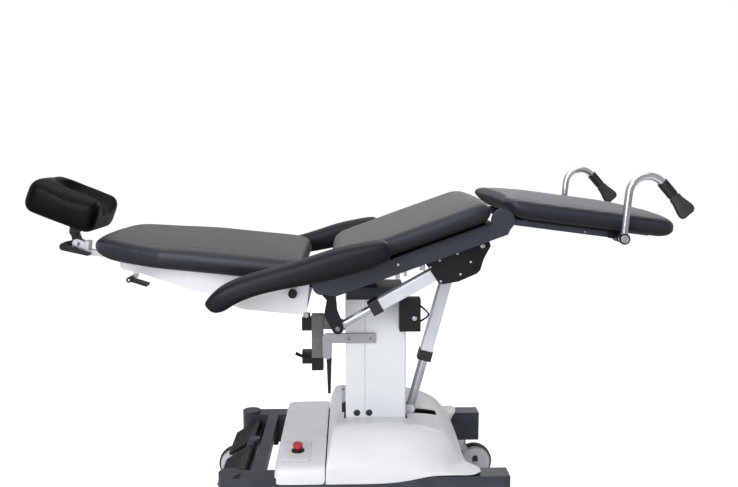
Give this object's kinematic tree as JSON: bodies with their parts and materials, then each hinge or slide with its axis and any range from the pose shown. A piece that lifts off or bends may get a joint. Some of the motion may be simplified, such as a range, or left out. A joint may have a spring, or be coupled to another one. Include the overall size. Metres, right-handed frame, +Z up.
{
  "type": "ophthalmic surgical bed",
  "caption": "Mobile surgical bed on castors with a lifting column, tilting seat, powered backrest with head pad and armrests, and a leg section with hooks.",
  "frame": {"origin": "middle of the bounding box in X and Y, on the floor under the castors", "axes": "+X from the head end to the foot end, +Y across the bed to the side away from the picture, +Z up"},
  "size_m": [1.9259, 0.78, 1.1225],
  "materials": {
    "frame_paint": "satin",
    "white_cover": "satin",
    "white_column": "satin",
    "mast_metal": "satin",
    "black_plastic": "matte",
    "black_paint": "satin",
    "steel": "satin",
    "polished_steel": "polished",
    "tube_aluminium": "satin",
    "bronze_tube": "satin",
    "grey_bracket": "satin",
    "tyre": "matte",
    "hub_plastic": "satin",
    "upholstery": "satin",
    "pad_cover": "satin",
    "red_plastic": "gloss",
    "pedal_pad": "matte",
    "grip_plastic": "matte"
  },
  "bodies": {
    "base": {"base_frame": "frame_paint", "base_cover": "white_cover", "head_cover": "white_cover", "inner_mast": "mast_metal", "pedal_housing": "black_plastic"},
    "fork_head_near": {"fork_head_near": "steel"},
    "wheel_head_near": {"hub_head_near": "hub_plastic", "tyre_head_near": "tyre"},
    "fork_head_far": {"fork_head_far": "steel"},
    "wheel_head_far": {"hub_head_far": "hub_plastic", "tyre_head_far": "tyre"},
    "fork_foot_near": {"fork_foot_near": "steel"},
    "wheel_foot_near": {"hub_foot_near": "hub_plastic", "tyre_foot_near": "tyre"},
    "fork_foot_far": {"fork_foot_far": "steel"},
    "wheel_foot_far": {"hub_foot_far": "hub_plastic", "tyre_foot_far": "tyre"},
    "stop_button": {"stop_button": "red_plastic"},
    "foot_pedal_near": {"foot_pedal_near": "black_plastic"},
    "foot_pedal_far": {"foot_pedal_far": "black_plastic"},
    "brake_pedal": {"brake_pedal": "pedal_pad"},
    "lift": {"column_shell": "white_column", "column_bracket": "grey_bracket", "top_yoke": "frame_paint", "motor_box": "black_plastic", "accessory_tube": "bronze_tube", "tube_clamps": "black_plastic", "cable_guide": "black_plastic", "lift_rod": "steel"},
    "clamp_knob": {"clamp_knob": "steel"},
    "clamp_handle": {"clamp_handle": "black_plastic"},
    "seat": {"side_plates": "frame_paint", "seat_frame": "black_paint", "gearbox_plates": "black_paint", "seat_cushion": "upholstery"},
    "back_actuator_tube": {"back_actuator_tube": "tube_aluminium"},
    "back_actuator_rod": {"back_actuator_rod": "steel"},
    "tilt_actuator_rod": {"tilt_actuator_rod": "steel"},
    "tilt_actuator_tube": {"tilt_actuator_tube": "tube_aluminium"},
    "back": {"back_shell": "white_cover", "back_frame": "black_paint", "back_cushion": "upholstery"},
    "release_lever": {"release_lever": "black_plastic"},
    "back_knob": {"back_knob": "black_plastic"},
    "head_slide": {"head_bar": "steel"},
    "head_knuckle": {"head_knuckle": "black_paint"},
    "head_lever": {"head_lever": "black_plastic"},
    "head": {"pad_bracket": "black_paint", "head_pad": "pad_cover"},
    "leg": {"leg_frame": "frame_paint", "leg_cushion": "upholstery", "hook_clamps": "black_paint"},
    "hook_near": {"hook_near": "polished_steel", "hook_grip_near": "grip_plastic"},
    "wing_screw_near": {"wing_screw_near": "steel"},
    "armrest_near": {"armrest_near": "pad_cover"},
    "hook_far": {"hook_far": "polished_steel", "hook_grip_far": "grip_plastic"},
    "wing_screw_far": {"wing_screw_far": "steel"},
    "armrest_far": {"armrest_far": "pad_cover"}
  },
  "joints": [
    {"name": "swivel_head_near", "type": "hinge", "parent": "base", "child": "fork_head_near", "pos_m": [-0.34563, -0.2715, 0.15], "axis": [0, 0, 1], "continuous": true},
    {"name": "wheel_head_near", "type": "hinge", "parent": "fork_head_near", "child": "wheel_head_near", "pos_m": [-0.40263, -0.2715, 0.0625], "axis": [0, 1, 0], "continuous": true},
    {"name": "swivel_head_far", "type": "hinge", "parent": "base", "child": "fork_head_far", "pos_m": [-0.34563, 0.2715, 0.15], "axis": [0, 0, 1], "continuous": true},
    {"name": "wheel_head_far", "type": "hinge", "parent": "fork_head_far", "child": "wheel_head_far", "pos_m": [-0.40263, 0.2715, 0.0625], "axis": [0, 1, 0], "continuous": true},
    {"name": "swivel_foot_near", "type": "hinge", "parent": "base", "child": "fork_foot_near", "pos_m": [0.39737, -0.2715, 0.15], "axis": [0, 0, 1], "continuous": true},
    {"name": "wheel_foot_near", "type": "hinge", "parent": "fork_foot_near", "child": "wheel_foot_near", "pos_m": [0.45437, -0.2715, 0.0625], "axis": [0, 1, 0], "continuous": true},
    {"name": "swivel_foot_far", "type": "hinge", "parent": "base", "child": "fork_foot_far", "pos_m": [0.39737, 0.2715, 0.15], "axis": [0, 0, 1], "continuous": true},
    {"name": "wheel_foot_far", "type": "hinge", "parent": "fork_foot_far", "child": "wheel_foot_far", "pos_m": [0.45437, 0.2715, 0.0625], "axis": [0, 1, 0], "continuous": true},
    {"name": "stop_button_press", "type": "slide", "parent": "base", "child": "stop_button", "axis": [0, 0, -1], "range_m": [0, 0.005], "stiffness_N_per_m": 400},
    {"name": "foot_pedal_near", "type": "hinge", "parent": "base", "child": "foot_pedal_near", "pos_m": [-0.32013, -0.118, 0.228], "axis": [0, 1, 0], "range_deg": [-6, 0], "stiffness_Nm_per_rad": 6, "springref_deg": 2.86},
    {"name": "foot_pedal_far", "type": "hinge", "parent": "base", "child": "foot_pedal_far", "pos_m": [-0.32013, 0.118, 0.228], "axis": [0, 1, 0], "range_deg": [-6, 0], "stiffness_Nm_per_rad": 6, "springref_deg": 2.86},
    {"name": "brake_pedal", "type": "hinge", "parent": "base", "child": "brake_pedal", "pos_m": [-0.32013, 0, 0.228], "axis": [0, 1, 0], "range_deg": [-6, 20]},
    {"name": "lift", "type": "slide", "parent": "base", "child": "lift", "axis": [0, 0, 1], "range_m": [-0.175, 0.06]},
    {"name": "clamp_knob", "type": "hinge", "parent": "lift", "child": "clamp_knob", "pos_m": [-0.12913, -0.05, 0.664], "axis": [0, 0, 1], "continuous": true},
    {"name": "clamp_handle", "type": "hinge", "parent": "lift", "child": "clamp_handle", "pos_m": [-0.12913, -0.073, 0.54], "axis": [0, 1, 0], "range_deg": [-30, 60]},
    {"name": "seat_tilt", "type": "hinge", "parent": "lift", "child": "seat", "pos_m": [0.04487, 0, 0.795], "axis": [0, 1, 0], "range_deg": [-4, 20]},
    {"name": "back_actuator_swing", "type": "hinge", "parent": "seat", "child": "back_actuator_tube", "pos_m": [0.36185, -0.19, 0.88499], "axis": [0, 1, 0], "range_deg": [-3, 6]},
    {"name": "back_actuator_stroke", "type": "slide", "parent": "back_actuator_tube", "child": "back_actuator_rod", "axis": [-0.8726, 0, -0.4885], "range_m": [-0.02, 0.102]},
    {"name": "tilt_actuator_swing", "type": "hinge", "parent": "lift", "child": "tilt_actuator_rod", "pos_m": [0.19787, 0, 0.355], "axis": [0, 1, 0], "range_deg": [-1, 4]},
    {"name": "tilt_actuator_stroke", "type": "slide", "parent": "tilt_actuator_rod", "child": "tilt_actuator_tube", "axis": [0.26, 0, 0.9656], "range_m": [-0.1, 0.02]},
    {"name": "back_hinge", "type": "hinge", "parent": "seat", "child": "back", "pos_m": [-0.07513, 0, 0.801], "axis": [0, 1, 0], "range_deg": [-8, 45]},
    {"name": "release_lever", "type": "hinge", "parent": "back", "child": "release_lever", "pos_m": [-0.62473, -0.212, 0.81452], "axis": [0, 1, 0], "range_deg": [0, 20], "stiffness_Nm_per_rad": 1},
    {"name": "back_knob", "type": "hinge", "parent": "back", "child": "back_knob", "pos_m": [-0.15934, -0.23, 0.77466], "axis": [0, 1, 0], "continuous": true},
    {"name": "head_bar_slide", "type": "slide", "parent": "back", "child": "head_slide", "axis": [-0.9945, 0, 0.1045], "range_m": [0, 0.08]},
    {"name": "head_knuckle", "type": "hinge", "parent": "head_slide", "child": "head_knuckle", "pos_m": [-0.83971, 0, 0.89292], "axis": [0, 1, 0], "range_deg": [-20, 2]},
    {"name": "head_lever", "type": "hinge", "parent": "head_knuckle", "child": "head_lever", "pos_m": [-0.87664, -0.027, 0.88595], "axis": [0, 1, 0], "range_deg": [-10, 40]},
    {"name": "head_pad_tilt", "type": "hinge", "parent": "head_knuckle", "child": "head", "pos_m": [-0.84969, 0, 0.92997], "axis": [0, 1, 0], "range_deg": [-15, 8]},
    {"name": "leg_hinge", "type": "hinge", "parent": "seat", "child": "leg", "pos_m": [0.43671, 0, 0.98527], "axis": [0, 1, 0], "range_deg": [-27, 50]},
    {"name": "hook_near", "type": "hinge", "parent": "leg", "child": "hook_near", "pos_m": [0.76237, -0.314, 0.93837], "axis": [0, 1, 0], "range_deg": [-60, 20]},
    {"name": "wing_screw_near", "type": "hinge", "parent": "leg", "child": "wing_screw_near", "pos_m": [0.7822, -0.273, 0.93575], "axis": [0.9914, 0, -0.1305], "continuous": true},
    {"name": "armrest_near", "type": "hinge", "parent": "back", "child": "armrest_near", "pos_m": [-0.32794, -0.355, 0.78735], "axis": [0, 1, 0], "range_deg": [-45, 8]},
    {"name": "hook_far", "type": "hinge", "parent": "leg", "child": "hook_far", "pos_m": [0.76237, 0.314, 0.93837], "axis": [0, 1, 0], "range_deg": [-60, 20]},
    {"name": "wing_screw_far", "type": "hinge", "parent": "leg", "child": "wing_screw_far", "pos_m": [0.7822, 0.273, 0.93575], "axis": [0.9914, 0, -0.1305], "continuous": true},
    {"name": "armrest_far", "type": "hinge", "parent": "back", "child": "armrest_far", "pos_m": [-0.32794, 0.355, 0.78735], "axis": [0, 1, 0], "range_deg": [-45, 8]}
  ],
  "couplings": [
    {"joint": "armrest_near", "follows": "back_hinge", "ratio": -1},
    {"joint": "armrest_far", "follows": "back_hinge", "ratio": -1},
    {"joint": "back_actuator_swing", "follows": "back_hinge", "ratio": 0.13},
    {"joint": "back_actuator_stroke", "follows": "back_hinge", "m_per_rad": 0.125},
    {"joint": "tilt_actuator_swing", "follows": "seat_tilt", "ratio": 0.165},
    {"joint": "tilt_actuator_stroke", "follows": "seat_tilt", "m_per_rad": -0.271}
  ]
}
